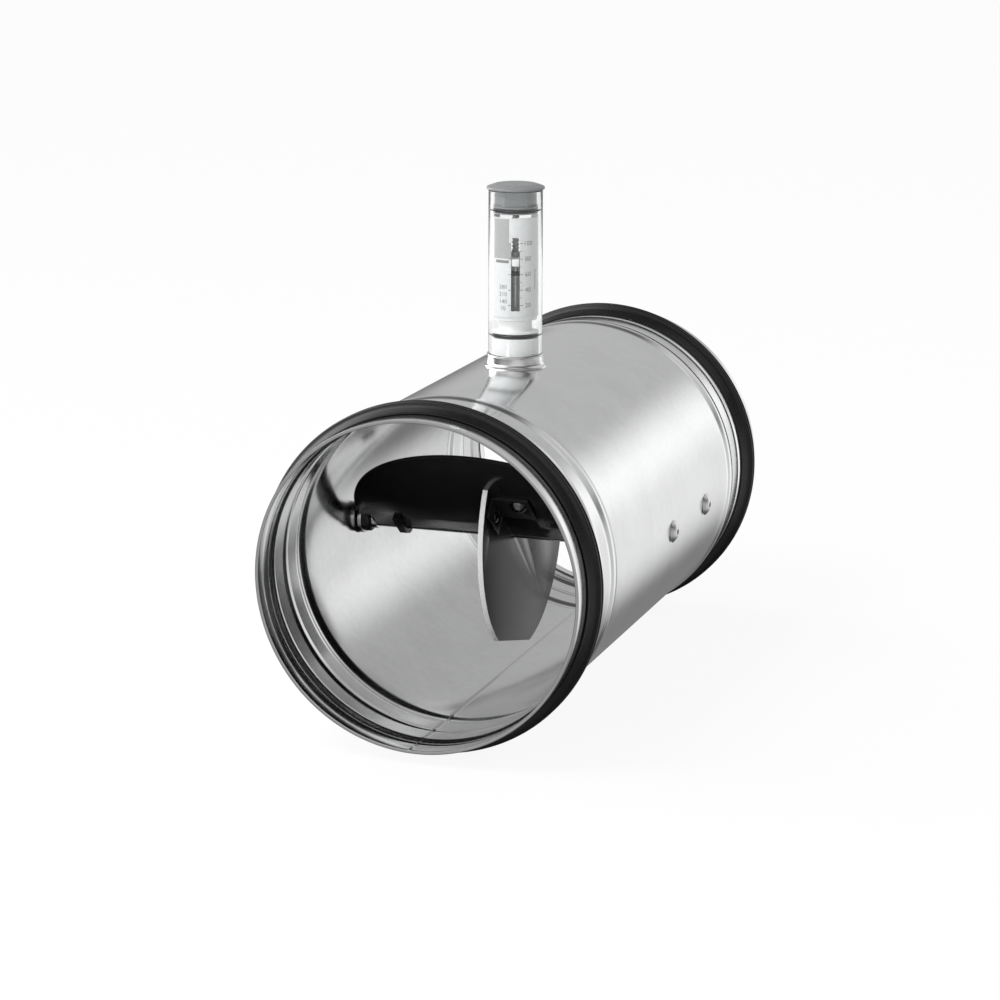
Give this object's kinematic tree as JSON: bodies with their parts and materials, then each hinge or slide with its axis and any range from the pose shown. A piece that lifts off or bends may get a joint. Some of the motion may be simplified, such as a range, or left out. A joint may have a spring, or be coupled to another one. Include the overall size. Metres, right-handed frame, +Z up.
{
  "type": "constant air volume damper",
  "caption": "Round duct damper with rubber lip seals, a tilting blade with counterweight plate, damper and setting tube with scale and knob on top.",
  "frame": {"origin": "centre of the inlet mouth, on the duct's axis", "axes": "+Y along the duct from the inlet to the outlet, +Z up to the setting tube, +X to the right seen from the inlet"},
  "size_m": [0.1324, 0.25, 0.1988],
  "materials": {
    "galvanised": "smooth galvanised sheet, faint soft spangle",
    "seal_rubber": "black double lip rubber, satin",
    "bracket_steel": "galvanised strip",
    "bush_plastic": "black moulded plastic",
    "fastener_steel": "bright zinc plated",
    "shaft_steel": "drawn bright steel",
    "blade_black": "black, slightly glossy sheet",
    "clip_black": "black coated steel",
    "hub_black": "black moulded plastic",
    "plate_steel": "dull grey steel plate, bright cut edge",
    "dashpot_metal": "drawn tube",
    "dashpot_plastic": "dark moulded plastic",
    "socket_metal": "turned, pale",
    "white_plastic": "white moulded plastic",
    "o_ring_rubber": "black",
    "clear_acrylic": "clear, polished",
    "scale_film": "pale printed film",
    "knob_grey": "grey moulded plastic",
    "spindle_steel": "threaded steel",
    "sleeve_metal": "plain metal sleeve",
    "mark_dark": "dark ring",
    "spring_steel": "spring wire"
  },
  "bodies": {
    "casing_body": {"casing": "galvanised", "inlet_seal": "seal_rubber", "outlet_seal": "seal_rubber", "left_bearing_bracket": "bracket_steel", "right_bearing_bracket": "bracket_steel", "left_bush": "bush_plastic", "right_bush": "bush_plastic", "flank_screws": "fastener_steel", "flank_nuts": "fastener_steel", "dashpot_holder": "bracket_steel", "dashpot_cylinder": "dashpot_metal", "dashpot_caps": "dashpot_plastic", "tube_socket": "socket_metal", "tube_base": "white_plastic", "lower_o_ring": "o_ring_rubber", "clear_tube": "clear_acrylic", "scale_sleeve": "scale_film", "tension_spring": "spring_steel"},
    "blade_body": {"shaft": "shaft_steel", "shaft_collars": "shaft_steel", "blade": "blade_black", "blade_clips": "clip_black", "blade_hub": "hub_black", "cam_plate": "plate_steel", "plate_bracket": "clip_black", "plate_fasteners": "fastener_steel", "crank_pin": "shaft_steel", "crank_arm": "bracket_steel"},
    "knob_body": {"knob_cap": "knob_grey", "upper_o_ring": "o_ring_rubber", "spindle": "spindle_steel"},
    "indicator_body": {"indicator_sleeve": "sleeve_metal", "pointer": "white_plastic", "indicator_mark": "mark_dark", "spring_hanger": "shaft_steel"},
    "pull_rod_body": {"pull_rod": "shaft_steel", "pull_rod_plug": "shaft_steel"},
    "dashpot_body": {"dashpot_piston": "dashpot_plastic", "dashpot_rod": "shaft_steel"}
  },
  "joints": [
    {"name": "blade_swing", "type": "hinge", "parent": "casing_body", "child": "blade_body", "pos_m": [0, 0.104, -0.0023], "axis": [-1, 0, 0], "range_deg": [-32, 30], "stiffness_Nm_per_rad": 0.054},
    {"name": "pull_rod_slide", "type": "slide", "parent": "casing_body", "child": "pull_rod_body", "axis": [0, 0, 1], "range_m": [-0.0048, 0.0051], "deforming": ["tension_spring"]},
    {"name": "dashpot_slide", "type": "slide", "parent": "casing_body", "child": "dashpot_body", "axis": [0, 1, 0], "range_m": [-0.0057, 0.0054]},
    {"name": "knob_turn", "type": "hinge", "parent": "casing_body", "child": "knob_body", "pos_m": [0, 0.113, 0.128], "axis": [0, 0, 1], "range_deg": [-1450, 2890]},
    {"name": "indicator_slide", "type": "slide", "parent": "casing_body", "child": "indicator_body", "axis": [0, 0, 1], "range_m": [-0.012, 0.006], "deforming": ["tension_spring"]}
  ],
  "couplings": [
    {"joint": "pull_rod_slide", "follows": "blade_swing", "m_per_rad": -0.009},
    {"joint": "dashpot_slide", "follows": "blade_swing", "m_per_rad": 0.01},
    {"joint": "knob_turn", "follows": "indicator_slide", "rad_per_m": -4188.8}
  ]
}
